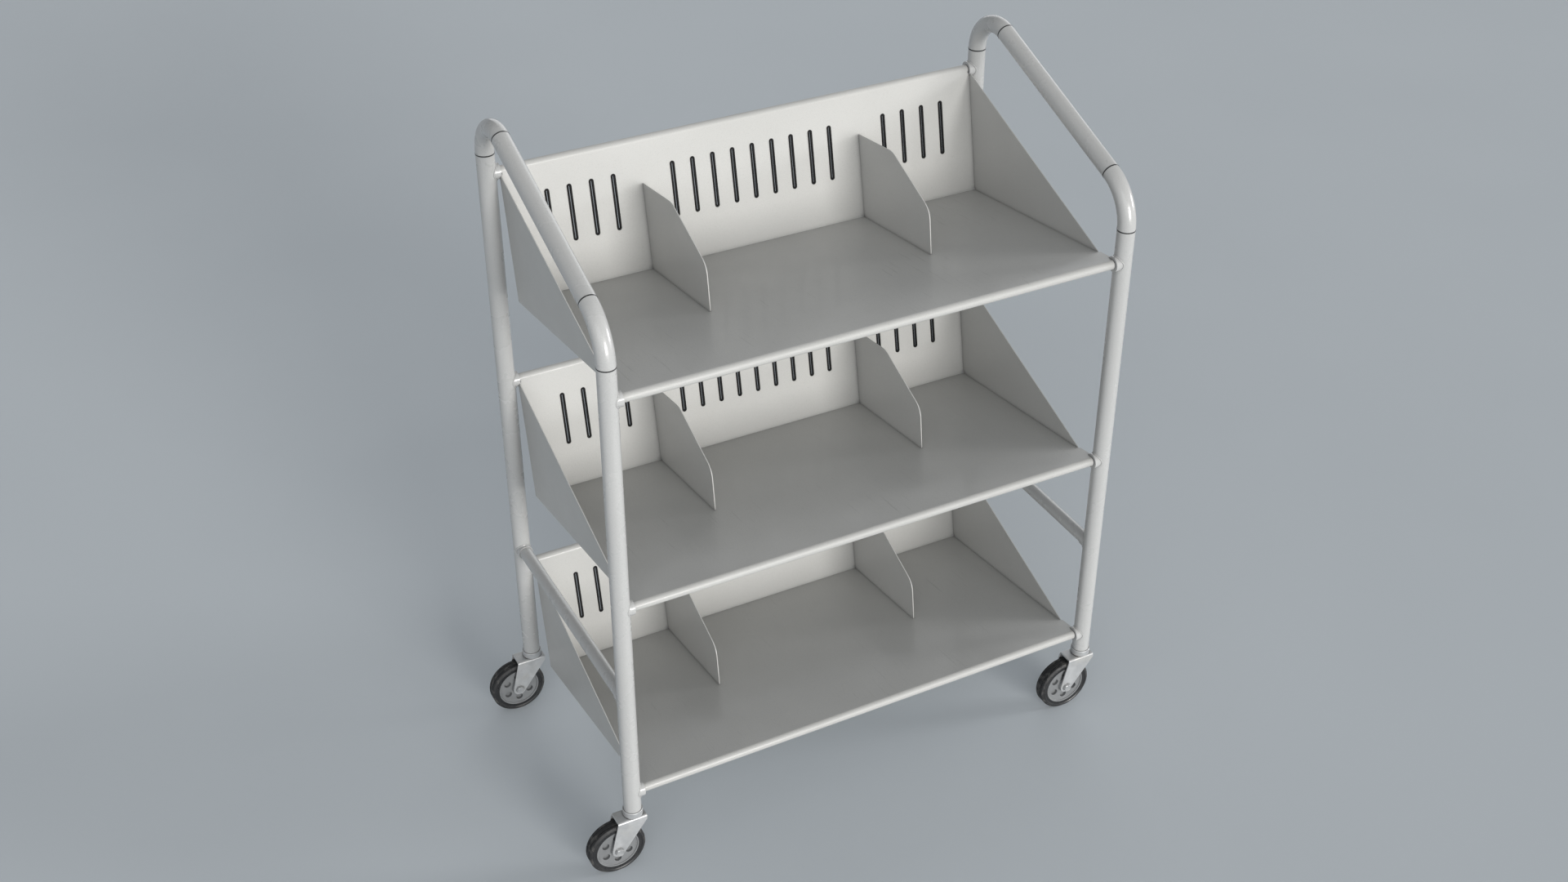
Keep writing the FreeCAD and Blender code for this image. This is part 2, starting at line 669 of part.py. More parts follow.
def swivel_balls(name, post):
    count = 12
    height = BALL_TOP - dim("ball_diameter") / 2
    balls = []
    for number in range(count):
        ball = doc.addObject("Part::Sphere", f"{name}_ball_{number + 1}")
        ball.setExpression("Radius", cell("ball_diameter / 2"))
        place = polar((0, 0), dim("ball_circle") / 2, number * 360 / count)
        ball.Placement = FreeCAD.Placement(post + Vector(*place, height), FreeCAD.Rotation())
        balls.append(ball)
    group = doc.addObject("Part::Compound", name + "_ball_group")
    group.Links = balls
    keep(group, name + "_swivel_balls")


def touch_angle(centre, radius, corner, side):
    """Where the line from a corner just touches a circle, as an angle about its centre."""
    reach = math.dist(centre, corner)
    lead = math.degrees(math.atan2(corner[1] - centre[1], corner[0] - centre[0]))
    return lead + side * math.degrees(math.acos(radius / reach))


def is_plate_edge(edge):
    """The two long top edges of the pressed U, where the plate turns into a leg."""
    box = edge.BoundBox
    level = abs(box.ZMin - FORK_TOP) < TINY and box.ZLength < TINY
    return level and box.YLength < TINY and box.XLength > dim("fork_nose")


def fork(name, post):
    """A pressed U: the plate under the collar and two legs down to the axle."""
    body = new_body(name + "_fork_body", post)
    radius, shoulder, inner_bend = dim("fork_end"), 9, 1.5
    axle = (AXLE_X, AXLE_Z)
    nose_top = (dim("fork_nose"), FORK_TOP)
    nose_low = (dim("fork_nose"), FORK_TOP - shoulder)
    tail_top = (-dim("fork_tail"), FORK_TOP)
    front_touch = touch_angle(axle, radius, nose_low, -1)
    tail_touch = touch_angle(axle, radius, tail_top, 1)
    side = new_sketch(body, "XZ_Plane")
    add_line(side, tail_top, nose_top)
    add_line(side, nose_top, nose_low)
    add_line(side, nose_low, polar(axle, radius, front_touch))
    add_arc(side, axle, radius, tail_touch, front_touch + 360)
    add_line(side, polar(axle, radius, tail_touch), tail_top)
    pad(body, side, "fork_width", both_ways=True)

    throat = new_sketch(body, "YZ_Plane")
    half = dim("fork_width") / 2 - dim("fork_leg")
    add_outline(throat, [(-half, 0, 0), (half, 0, 0),
                         (half, PLATE_UNDER, inner_bend), (-half, PLATE_UNDER, inner_bend)])
    cut_through(body, throat)

    axle_hole = new_sketch(body, "XZ_Plane")
    add_circle(axle_hole, AXLE_X, AXLE_Z, "axle_diameter", ("- wheel_trail", "wheel_diameter / 2"))
    cut_through(body, axle_hole)
    stem_hole = new_sketch(body, "XY_Plane")
    add_circle(stem_hole, 0, 0, "stem_diameter + 2 * running_gap")
    cut_through(body, stem_hole)
    doc.recompute()

    pressed = body.Tip
    edges = [f"Edge{index + 1}" for index, edge in enumerate(body.Shape.Edges) if is_plate_edge(edge)]
    bend = body.newObject("PartDesign::Fillet", body.Name + "_bend")
    bend.Base = (pressed, edges)
    bend.Radius = dim("fork_leg") + inner_bend
    keep(body, name + "_fork")


def wheel(name, axle):
    """The wheel core: hub, dished web with round pockets, and the rim."""
    bore = dim("axle_diameter") / 2 + dim("running_gap")
    hub, rim = dim("hub_diameter") / 2, dim("tyre_inside") / 2
    hub_half, web_half, rim_half = dim("hub_width") / 2, 8, 10.5
    rim_wall, rim_taper, hub_taper = 3, 0.8, 1
    rim_inside, web_foot = rim - rim_wall, hub + hub_taper
    right = [(bore, -hub_half, 0), (hub, -hub_half, 0), (web_foot, -web_half, 0),
             (rim_inside, -web_half, 0), (rim_inside + rim_taper, -rim_half, 0), (rim, -rim_half, 0)]
    left = [(radius, -height, corner) for radius, height, corner in reversed(right)]
    body = turned(name + "_wheel", axle, right + left, upright=False)
    pocket_count, pocket_depth, pocket_circle = 6, 5, 47
    for face, backwards in ((web_half, False), (-web_half, True)):
        sketch = new_sketch(body, "XY_Plane", raised(face))
        add_circle(sketch, 0, pocket_circle / 2, "tyre_inside / 6")
        pocket = new_feature(body, "Pocket", sketch)
        pocket.Length = pocket_depth
        pocket.Reversed = backwards
        ring = body.newObject("PartDesign::PolarPattern", body.Name + "_pockets")
        ring.Originals = [pocket]
        ring.Axis = (sketch, ["N_Axis"])
        ring.Angle = 360
        ring.Occurrences = pocket_count
        body.Tip = ring
    keep(body, name + "_wheel")


def tyre(name, axle):
    """The tyre: a raised side wall, round shoulders and two tread grooves."""
    inside, outside = dim("tyre_inside") / 2, dim("wheel_diameter") / 2
    half, wall_half, wall_step, wall_reach = dim("tyre_width") / 2, 11, 1.5, 44
    shoulder = 4
    groove_at, groove_half, groove_depth = 4, 0.8, 1.5
    floor = outside - groove_depth
    right = [(inside, wall_half, 0), (wall_reach - wall_step, wall_half, 0),
             (wall_reach, half, 0), (outside, half, shoulder)]
    grooves = []
    for centre in (groove_at, -groove_at):
        grooves += [(outside, centre + groove_half, 0), (floor, centre + groove_half, 0),
                    (floor, centre - groove_half, 0), (outside, centre - groove_half, 0)]
    left = [(radius, -height, corner) for radius, height, corner in reversed(right)]
    keep(turned(name + "_tyre", axle, right + grooves + left, upright=False), name + "_tyre")


def hexagon(sketch, across):
    points = [polar((0, 0), across / math.sqrt(3), 30 + 60 * corner) for corner in range(6)]
    add_outline(sketch, [(*point, 0) for point in points])


HEX_ACROSS = 13


def axle_bolt(name, axle):
    """The axle: a hexagon head on the front leg and a plain shank."""
    body = new_body(name + "_axle_bolt_body", axle, FreeCAD.Rotation(X_AXIS, 90))
    outer_leg = dim("fork_width") / 2
    head = new_sketch(body, "XY_Plane", raised(outer_leg))
    hexagon(head, HEX_ACROSS)
    pad(body, head, "axle_half - fork_width / 2")
    shank = new_sketch(body, "XY_Plane", raised(outer_leg))
    add_circle(shank, 0, 0, "axle_diameter")
    pad(body, shank, "fork_width / 2 + axle_half", backwards=True)
    keep(body, name + "_axle_bolt")


def axle_nut(name, axle):
    body = new_body(name + "_axle_nut_body", axle, FreeCAD.Rotation(X_AXIS, 90))
    outer_leg = -dim("fork_width") / 2
    face = new_sketch(body, "XY_Plane", raised(outer_leg))
    hexagon(face, HEX_ACROSS)
    add_circle(face, 0, 0, "axle_diameter")
    pad(body, face, "axle_half - fork_width / 2", backwards=True)
    keep(body, name + "_axle_nut")


for end, y in ENDS.items():
    for side, x in SIDES.items():
        name = f"{end}_{side}"
        ground = Vector(x, y, 0)
        axle = ground + Vector(AXLE_X, 0, AXLE_Z)
        post_socket(name, ground)
        swivel_stem(name, ground)
        swivel_collar(name, ground)
        swivel_balls(name, ground)
        fork(name, ground)
        wheel(name, axle)
        tyre(name, axle)
        axle_bolt(name, axle)
        axle_nut(name, axle)


# ---------------------------------------------------------------------------
# Check everything, then write one file for each node
# ---------------------------------------------------------------------------
doc.recompute()
for thing in doc.Objects:
    broken = {"Invalid", "Error"} & set(thing.State)
    if broken:
        raise RuntimeError(f"{thing.Label} is {broken}")
for thing in nodes:
    shape = thing.Shape
    if shape.isNull() or not shape.isValid():
        raise RuntimeError(f"{thing.Label} has no valid shape")
for thing in nodes:
    thing.Shape.exportStep(f"parts/{thing.Label}.step")
print(len(nodes), "nodes,", sum(len(thing.Shape.Solids) for thing in nodes), "solids")
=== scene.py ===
import json
import math

import bmesh
import bpy
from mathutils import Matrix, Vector


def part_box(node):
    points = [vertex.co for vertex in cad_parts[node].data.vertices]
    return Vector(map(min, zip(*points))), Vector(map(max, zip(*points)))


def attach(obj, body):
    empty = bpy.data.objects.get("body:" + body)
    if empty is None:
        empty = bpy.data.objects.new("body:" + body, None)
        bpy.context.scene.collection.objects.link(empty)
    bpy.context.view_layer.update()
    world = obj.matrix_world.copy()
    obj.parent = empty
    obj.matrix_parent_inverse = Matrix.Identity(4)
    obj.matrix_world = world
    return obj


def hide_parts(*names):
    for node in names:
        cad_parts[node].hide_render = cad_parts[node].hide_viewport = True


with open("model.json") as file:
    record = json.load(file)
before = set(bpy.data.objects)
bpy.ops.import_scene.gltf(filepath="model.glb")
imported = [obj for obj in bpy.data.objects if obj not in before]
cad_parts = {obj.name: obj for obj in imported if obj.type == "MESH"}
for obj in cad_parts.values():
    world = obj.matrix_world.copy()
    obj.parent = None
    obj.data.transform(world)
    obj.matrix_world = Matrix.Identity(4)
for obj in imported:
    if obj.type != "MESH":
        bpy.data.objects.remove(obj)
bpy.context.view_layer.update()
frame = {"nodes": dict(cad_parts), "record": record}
scene = bpy.context.scene
MM = 0.001

RECORD = frame["record"]
SLOTS = {part["node"]: part["material_slot"] for part in RECORD["subparts"]}
BODY_OF = {node: body for body, group in RECORD["behaviour"]["bodies"].items() for node in group}
CORNERS = ("front_left", "front_right", "rear_left", "rear_right")
TIERS = ("lower", "middle", "upper")
SIDES = ("left", "right")


# ---------------------------------------------------------------------------
# Camera, floor and lights
# ---------------------------------------------------------------------------
def add_camera():
    """The photograph's own place, lens and angle, recovered from its straight edges."""
    data = bpy.data.cameras.new("camera")
    data.lens = 44.67
    data.sensor_width = 36
    camera = bpy.data.objects.new("camera", data)
    camera.location = (-1.2633, -2.4060, 2.4234)
    pitch_down, heading = math.radians(34.06), math.radians(27.46)
    camera.rotation_euler = (math.pi / 2 - pitch_down, 0, -heading)
    scene.collection.objects.link(camera)
    scene.camera = camera


def add_soft_light(name, source, strength, spread, colour=(1, 1, 1)):
    """Even light from the direction of source, as soft as a box this many degrees wide."""
    data = bpy.data.lights.new(name, "SUN")
    data.energy = strength
    data.angle = math.radians(spread)
    data.color = colour
    light = bpy.data.objects.new(name, data)
    light.location = source
    light.rotation_euler = Vector(source).to_track_quat("Z", "Y").to_euler()
    scene.collection.objects.link(light)


def studio_world():
    """A pale room whose walls have the floor's tone where they meet it."""
    world = bpy.data.worlds.new("studio")
    world.use_nodes = True
    nodes, links = world.node_tree.nodes, world.node_tree.links
    direction = nodes.new("ShaderNodeTexCoord").outputs["Generated"]
    parts = nodes.new("ShaderNodeSeparateXYZ")
    height = nodes.new("ShaderNodeMapRange")
    height.inputs["From Min"].default_value = 0.05
    height.inputs["From Max"].default_value = 0.30
    blend = nodes.new("ShaderNodeMix")
    blend.data_type = "RGBA"
    low, high = [item for item in blend.inputs if item.type == "RGBA"]
    low.default_value = (1.25, 1.355, 1.44, 1)
    high.default_value = (0.93, 0.97, 1.0, 1)
    background = nodes["Background"]
    background.inputs["Strength"].default_value = 0.29
    links.new(direction, parts.inputs[0])
    links.new(parts.outputs["Z"], height.inputs["Value"])
    links.new(height.outputs["Result"], blend.inputs[0])
    links.new(next(item for item in blend.outputs if item.type == "RGBA"), background.inputs["Color"])
    return world


def light_scene():
    """A broad key from the front, weak fills, and the faint light of a pale room."""
    scene.world = studio_world()
    add_soft_light("key", (0.9, -7.5, 1.0), 3.05, 26, (1, 0.985, 0.955))
    add_soft_light("front fill", (-4.2, -6.4, 3.6), 0.7, 45, (0.98, 0.99, 1))
    add_soft_light("left fill", (-7.0, -1.5, 2.4), 0.15, 45, (0.97, 0.98, 1))
    add_soft_light("right edge", (8.0, -2.5, 1.2), 1.3, 14)
    add_soft_light("rear fill", (5.0, 7.0, 1.6), 0.6, 50, (0.98, 0.99, 1))
    scene.view_settings.view_transform = "Standard"


def add_stage():
    """A plain floor that reaches past the picture from the photograph's height."""
    half = 60
    mesh = bpy.data.meshes.new("studio_floor")
    corners = [(-half, -half, 0), (half, -half, 0), (half, half, 0), (-half, half, 0)]
    mesh.from_pydata(corners, [], [(0, 1, 2, 3)])
    floor = bpy.data.objects.new("studio_floor", mesh)
    scene.collection.objects.link(floor)
    floor.data.materials.append(floor_material())


# ---------------------------------------------------------------------------
# Materials
# ---------------------------------------------------------------------------
class Nodes:
    """A material's node tree, with short calls that add and join nodes."""

    def __init__(self, name):
        self.material = bpy.data.materials.new(name)
        self.material.use_nodes = True
        self.tree = self.material.node_tree
        self.shader = self.tree.nodes["Principled BSDF"]

    def add(self, kind):
        return self.tree.nodes.new("ShaderNode" + kind)

    def link(self, source, target):
        self.tree.links.new(source, target)

    def feed(self, socket, value):
        """Join a value to a socket, or set it there when it is a plain number or colour."""
        if isinstance(value, tuple):
            socket.default_value = (*value, 1)
        elif isinstance(value, (int, float)):
            socket.default_value = value
        else:
            self.link(value, socket)

    def finish_with(self, colour, roughness, metallic=0.0):
        """Give the shader its colour, roughness and metal share."""
        self.feed(self.shader.inputs["Base Color"], colour)
        self.feed(self.shader.inputs["Roughness"], roughness)
        self.shader.inputs["Metallic"].default_value = metallic

    def place(self, stretch=None):
        """The rest place of a point on the piece, stretched by a factor along each axis."""
        place = self.add("TexCoord").outputs["Object"]
        if stretch is None:
            return place
        scaled = self.add("VectorMath")
        scaled.operation = "MULTIPLY"
        self.link(place, scaled.inputs[0])
        scaled.inputs[1].default_value = stretch
        return scaled.outputs[0]

    def noise(self, place, scale, detail=2, roughness=0.5):
        """Soft noise with this many waves to a metre."""
        node = self.add("TexNoise")
        node.inputs["Scale"].default_value = scale
        node.inputs["Detail"].default_value = detail
        node.inputs["Roughness"].default_value = roughness
        self.link(place, node.inputs["Vector"])
        return node.outputs["Fac"]

    def spread(self, value, low, high, out_low=0.0, out_high=1.0):
        """Stretch the values between low and high over the output range, and clip the rest."""
        node = self.add("MapRange")
        for key, number in (("From Min", low), ("From Max", high), ("To Min", out_low), ("To Max", out_high)):
            node.inputs[key].default_value = number
        self.link(value, node.inputs["Value"])
        return node.outputs["Result"]

    def mix(self, factor, first, second):
        """A colour that goes from first to second as the factor goes from 0 to 1."""
        node = self.add("Mix")
        node.data_type = "RGBA"
        colours = [item for item in node.inputs if item.type == "RGBA"]
        self.feed(colours[0], first)
        self.feed(colours[1], second)
        self.link(factor, node.inputs[0])
        return next(item for item in node.outputs if item.type == "RGBA")

    def combine(self, operation, first, second):
        """One of the Math node's operations on two values."""
        node = self.add("Math")
        node.operation = operation
        self.feed(node.inputs[0], first)
        self.feed(node.inputs[1], second)
        return node.outputs[0]

    def times(self, first, second):
        """The product of two values."""
        return self.combine("MULTIPLY", first, second)

    def attribute(self, name):
        """A mark on the mesh's faces, which is 0 where a mesh hasn't got it."""
        node = self.add("Attribute")
        node.attribute_name = name
        return node.outputs["Fac"]

    def corner_shade_mask(self, reach):
        """1 in the open, falling to 0 within reach of a corner: the mask for painted shade in corners and
        creases.
        """
        node = self.add("AmbientOcclusion")
        node.samples = 4
        node.inputs["Distance"].default_value = reach
        return self.spread(node.outputs["AO"], 0.35, 0.8)

    def facing_up(self):
        """1 on faces that look up, falling to 0 on upright ones."""
        parts = self.add("SeparateXYZ")
        self.link(self.add("NewGeometry").outputs["Normal"], parts.inputs[0])
        return self.spread(parts.outputs["Z"], 0.6, 0.95)

    def bump(self, *layers):
        """Stack bumps, each a (height, strength, distance in metres)."""
        last = None
        for height, strength, distance in layers:
            node = self.add("Bump")
            node.inputs["Strength"].default_value = strength
            node.inputs["Distance"].default_value = distance
            self.link(height, node.inputs["Height"])
            if last is not None:
                self.link(last, node.inputs["Normal"])
            last = node.outputs["Normal"]
        self.link(last, self.shader.inputs["Normal"])


def shade(colour, factor):
    """The colour made lighter or darker by a factor."""
    return tuple(part * factor for part in colour)


def floor_material():
    nodes = Nodes("studio_floor")
    tone = nodes.noise(nodes.place(), 1.5)
    nodes.finish_with(nodes.mix(tone, (0.58, 0.62, 0.655), (0.61, 0.65, 0.685)), 0.9)
    nodes.shader.inputs["Specular IOR Level"].default_value = 0.1
    return nodes.material


def powder_coat(name, colour, roughness, scuffed=False):
    """Baked powder coat: colour drift, orange peel, worn chips on edges, a painted highlight along the
    rounded edges, painted shade in creases, and scuffs where books slide.
    """
    nodes = Nodes(name)
    place = nodes.place()
    drift = nodes.spread(nodes.noise(place, 3.5, 3), 0.35, 0.65)
    base = nodes.mix(drift, shade(colour, 0.95), colour)
    grain = nodes.spread(nodes.noise(place, 900, 2), 0.52, 0.7, 0, 0.6)
    base = nodes.mix(grain, base, shade(colour, 0.80))
    patch = nodes.noise(place, 11, 4, 0.6)
    finish = nodes.spread(patch, 0.35, 0.7, roughness, roughness + 0.13)

    edge = nodes.attribute("edge")
    chips = nodes.spread(nodes.noise(place, 160, 4, 0.7), 0.56, 0.64)
    worn = nodes.times(edge, nodes.times(chips, nodes.spread(patch, 0.45, 0.6)))
    bare_steel = (0.30, 0.29, 0.28)
    # Painted highlight: every rounded edge is lightened evenly.
    base = nodes.mix(nodes.times(edge, 0.35), base, shade(colour, 1.12))
    base = nodes.mix(worn, base, bare_steel)
    # Painted shade: the colour darkens within reach of corners and creases.
    base = nodes.mix(nodes.corner_shade_mask(9 * MM), shade(colour, 0.42), base)
    base = nodes.mix(nodes.attribute("seam"), base, shade(colour, 0.05))

    if scuffed:
        lines = nodes.spread(nodes.noise(nodes.place((260, 9, 9)), 1.0, 4, 0.7), 0.60, 0.68)
        zone = nodes.spread(nodes.noise(place, 6, 3), 0.45, 0.65)
        scuffs = nodes.times(nodes.times(lines, zone), nodes.facing_up())
        base = nodes.mix(nodes.times(scuffs, 0.5), base, shade(colour, 0.72))
        finish = nodes.combine("ADD", finish, nodes.times(scuffs, 0.2))
    nodes.finish_with(base, finish)
    orange_peel, fine_peel = nodes.noise(place, 420, 2), nodes.noise(place, 1400, 1)
    nodes.bump((orange_peel, 0.30, 0.5 * MM), (fine_peel, 0.22, 0.2 * MM))
    nodes.shader.inputs["Coat Weight"].default_value = 0.15 if scuffed else 0.5
    nodes.shader.inputs["Coat Roughness"].default_value = 0.1
    return nodes.material


def zinc_plate(name, colour, roughness):
    """Bright zinc on pressed steel: cloudy spangle, rolling lines, a painted highlight along the rounded
    edges and painted shade in creases.
    """
    nodes = Nodes(name)
    place = nodes.place()
    cloud = nodes.spread(nodes.noise(place, 70, 4, 0.6), 0.35, 0.65)
    base = nodes.mix(cloud, shade(colour, 0.86), colour)
    warm = nodes.spread(nodes.noise(place, 30, 2), 0.5, 0.72, 0, 0.4)
    base = nodes.mix(warm, base, (colour[0] * 0.98, colour[1] * 0.93, colour[2] * 0.82))
    # The first colour is a painted highlight for the rounded edges; the second is painted shade for creases.
    edge_highlight, grime_and_shade = (0.86, 0.86, 0.85), (0.05, 0.048, 0.045)
    # Painted highlight: every rounded edge is lightened evenly.
    base = nodes.mix(nodes.times(nodes.attribute("edge"), 0.35), base, edge_highlight)
    # Painted shade: the colour darkens within reach of corners and creases.
    base = nodes.mix(nodes.corner_shade_mask(4 * MM), grime_and_shade, base)
    finish = nodes.spread(nodes.noise(place, 55, 3), 0.3, 0.7, roughness, roughness + 0.16)
    nodes.finish_with(base, finish, metallic=0.6)
    rolling_lines = nodes.noise(nodes.place((40, 40, 900)), 1.0, 2)
    nodes.bump((rolling_lines, 0.05, 0.2 * MM), (nodes.noise(place, 700, 2), 0.08, 0.2 * MM))
    return nodes.material


def moulded_plastic(name, colour):
    """Moulded nylon: fine texture, a little cloudiness, grime in patches, a painted highlight along the
    rounded edges and painted shade in corners.
    """
    nodes = Nodes(name)
    place = nodes.place()
    cloud = nodes.spread(nodes.noise(place, 25, 3), 0.35, 0.7)
    base = nodes.mix(cloud, shade(colour, 0.9), colour)
    # Grime patches at random places on the wheel.
    grime_and_shade = nodes.spread(nodes.noise(place, 45, 5, 0.7), 0.55, 0.75, 0, 0.45)
    base = nodes.mix(grime_and_shade, base, shade(colour, 0.55))
    # Painted highlight: every rounded edge is lightened evenly.
    base = nodes.mix(nodes.times(nodes.attribute("edge"), 0.4), base, shade(colour, 1.3))
    # Painted shade: the colour darkens within reach of corners and creases.
    base = nodes.mix(nodes.corner_shade_mask(4 * MM), shade(colour, 0.25), base)
    nodes.finish_with(base, nodes.spread(nodes.noise(place, 60, 2), 0.3, 0.7, 0.42, 0.6))
    nodes.bump((nodes.noise(place, 1300, 2), 0.18, 0.2 * MM))
    return nodes.material


def tyre_rubber(name):
    """Black rubber: semi-gloss side walls, and a duller, dusty tread."""
    nodes = Nodes(name)
    place = nodes.place()
    cloud = nodes.spread(nodes.noise(place, 40, 3), 0.3, 0.7)
    base = nodes.mix(cloud, (0.012, 0.012, 0.013), (0.022, 0.022, 0.023))
    tread = nodes.attribute("tread")
    dust, pale_dust = nodes.spread(nodes.noise(place, 85, 5, 0.7), 0.5, 0.7), (0.20, 0.19, 0.175)
    dusty = nodes.times(dust, nodes.combine("ADD", nodes.times(tread, 0.5), 0.05))
    base = nodes.mix(dusty, base, pale_dust)
    gloss = nodes.spread(nodes.noise(place, 120, 3), 0.3, 0.7, 0.26, 0.42)
    nodes.finish_with(base, nodes.combine("ADD", gloss, nodes.times(tread, 0.25)))
    nodes.bump((nodes.noise(place, 900, 3), 0.22, 0.3 * MM))
    return nodes.material


def trim_rubber(name):
    """Matt black rubber edging with a little dust."""
    nodes = Nodes(name)
    place = nodes.place()
    cloud = nodes.spread(nodes.noise(place, 60, 3), 0.3, 0.7)
    base = nodes.mix(cloud, (0.004, 0.004, 0.0045), (0.008, 0.008, 0.0085))
    dust = nodes.spread(nodes.noise(place, 110, 5, 0.7), 0.55, 0.75, 0, 0.08)
    base = nodes.mix(dust, base, (0.12, 0.115, 0.11))
    nodes.finish_with(base, nodes.spread(nodes.noise(place, 140, 3), 0.3, 0.7, 0.62, 0.78))
    nodes.shader.inputs["Specular IOR Level"].default_value = 0.2
    nodes.bump((nodes.noise(place, 1100, 3), 0.2, 0.2 * MM))
    return nodes.material


MATERIALS = {
    "frame_paint": powder_coat("frame_powder_coat", (0.47, 0.47, 0.464), 0.22),
    "shelf_paint": powder_coat("shelf_powder_coat", (0.48, 0.477, 0.462), 0.36, scuffed=True),
    "rivet_steel": powder_coat("rivet_powder_coat", (0.46, 0.457, 0.443), 0.34),
    "socket_steel": zinc_plate("socket_steel", (0.45, 0.46, 0.47), 0.38),
    "zinc_steel": zinc_plate("caster_zinc", (0.58, 0.585, 0.59), 0.36),
    "bolt_steel": zinc_plate("bolt_zinc", (0.52, 0.525, 0.53), 0.28),
    "wheel_plastic": moulded_plastic("wheel_nylon", (0.20, 0.205, 0.21)),
    "tyre_rubber": tyre_rubber("tyre_rubber"),
    "slot_trim": trim_rubber("slot_trim_rubber"),
}


# ---------------------------------------------------------------------------
# Making pieces
# ---------------------------------------------------------------------------
SHARP = math.radians(40)
FLAT = math.radians(0.3)
SAME_PLACE = 0.001 * MM
UP = Vector((0, 0, 1))


def finish_piece(work, name, slot, body, replaced=(), look=None):
    """Turn a bmesh into a smooth-shaded piece that rides on its body; look is its material."""
    bmesh.ops.recalc_face_normals(work, faces=work.faces)
    for face in work.faces:
        face.smooth = True
    for edge in work.edges:
        edge.smooth = len(edge.link_faces) == 2 and edge.calc_face_angle() < SHARP
    mesh = bpy.data.meshes.new(name)
    work.to_mesh(mesh)
    work.free()
    piece = bpy.data.objects.new(name, mesh)
    scene.collection.objects.link(piece)
    mesh.materials.append(MATERIALS[look or slot])
    normals = piece.modifiers.new("flat faces stay flat", "WEIGHTED_NORMAL")
    normals.keep_sharp = True
    if replaced:
        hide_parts(*replaced)
    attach(piece, body)


def bevel(work, edges, width, segments):
    """Round these edges, and mark the rounds for the materials' edge wear and painted edge highlight."""
    mark = work.faces.layers.float.get("edge") or work.faces.layers.float.new("edge")
    if not edges:
        return
    made = bmesh.ops.bevel(work, geom=edges, offset=width, offset_type="OFFSET", segments=segments,
                           profile=0.5, affect="EDGES", clamp_overlap=True)
    for face in made["faces"]:
        face[mark] = 1


def node_mesh(node):
    """A CAD node's mesh with its split corners joined and its flat facets merged."""
    work = bmesh.new()
    work.from_mesh(frame["nodes"][node].data)
    for face in work.faces:
        face.material_index = 0
    bmesh.ops.remove_doubles(work, verts=work.verts, dist=SAME_PLACE)
    bmesh.ops.dissolve_limit(work, angle_limit=FLAT, verts=work.verts, edges=work.edges)
    return work


def sharp_edges(work):
    return [edge for edge in work.edges if len(edge.link_faces) == 2 and edge.calc_face_angle() > SHARP]


def eased(node, width, segments=2, ending="_eased"):
    """A CAD node's shape with its sharp edges eased, in place of the node."""
    work = node_mesh(node)
    bevel(work, sharp_edges(work), width, segments)
    finish_piece(work, node + ending, SLOTS[node], BODY_OF[node], [node])


def paint_node(node):
    """A CAD node whose shape is right keeps it and gets its slot's material."""
    data = frame["nodes"][node].data
    data.materials.clear()
    data.materials.append(MATERIALS[SLOTS[node]])


def rounded(corners):
    """Points of an outline whose (x, y, radius) corners are rounded by arcs."""
    points = []
    count, steps = len(corners), 6
    for index, (x, y, radius) in enumerate(corners):
        here = Vector((x, y))
        if radius == 0:
            points.append(here)
            continue
        to_last = (Vector(corners[index - 1][:2]) - here).normalized()
        to_next = (Vector(corners[(index + 1) % count][:2]) - here).normalized()
        half = to_last.angle(to_next) / 2
        start, stop = here + to_last * radius / math.tan(half), here + to_next * radius / math.tan(half)
        centre = here + (to_last + to_next).normalized() * radius / math.sin(half)
        for step in range(steps + 1):
            way = (start - centre).lerp(stop - centre, step / steps)
            points.append(centre + way.normalized() * radius)
    return points


def lathe(outline, origin, axis, segments=96, work=None):
    """Spin a closed (radius, height) outline about an axis through origin."""
    work = work or bmesh.new()
    turn = UP.rotation_difference(Vector(axis)).to_matrix()
    rings = []
    for step in range(segments):
        angle = math.tau * step / segments
        ring = []
        for radius, height in outline:
            local = Vector((radius * math.cos(angle), radius * math.sin(angle), height))
            ring.append(work.verts.new(Vector(origin) + turn @ local))
        rings.append(ring)
    count = len(outline)
    for step in range(segments):
        near, far = rings[step], rings[(step + 1) % segments]
        for index in range(count):
            onward = (index + 1) % count
            work.faces.new((near[index], near[onward], far[onward], far[index]))
    bmesh.ops.remove_doubles(work, verts=work.verts, dist=SAME_PLACE)
    bmesh.ops.dissolve_degenerate(work, edges=work.edges, dist=SAME_PLACE)
    return work


def middle_of(node):
    low, high = (Vector(corner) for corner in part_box(node))
    return (low + high) / 2


def size_of(node):
    low, high = (Vector(corner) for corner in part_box(node))
    return high - low


# ---------------------------------------------------------------------------
# Frame: tubes keep their CAD shape; weld beads and joint rings are added
# ---------------------------------------------------------------------------
def bead_round_collar(work, centre, along, collar_radius, post_radius, bead, ripples):
    """A rippled weld bead along the line where a collar meets its post."""
    along = Vector(along)
    across = UP.cross(along)
    steps_in_ripple, sides, ripple_depth = 4, 8, 0.16
    steps = ripples * steps_in_ripple
    rings = []
    for step in range(steps):
        angle = math.tau * step / steps
        reach = math.sqrt(post_radius ** 2 - (collar_radius * math.cos(angle)) ** 2)
        outward = across * math.cos(angle) + UP * math.sin(angle)
        point = Vector(centre) + outward * collar_radius + along * reach
        ripple = 1 + ripple_depth * math.sin(math.tau * step / steps_in_ripple)
        ring = []
        for side in range(sides):
            turn = math.tau * side / sides
            way = outward * math.cos(turn) + along * math.sin(turn)
            ring.append(work.verts.new(point + way * bead * ripple))
        rings.append(ring)
    for step in range(steps):
        near, far = rings[step], rings[(step + 1) % steps]
        for side in range(sides):
            onward = (side + 1) % sides
            work.faces.new((near[side], near[onward], far[onward], far[side]))


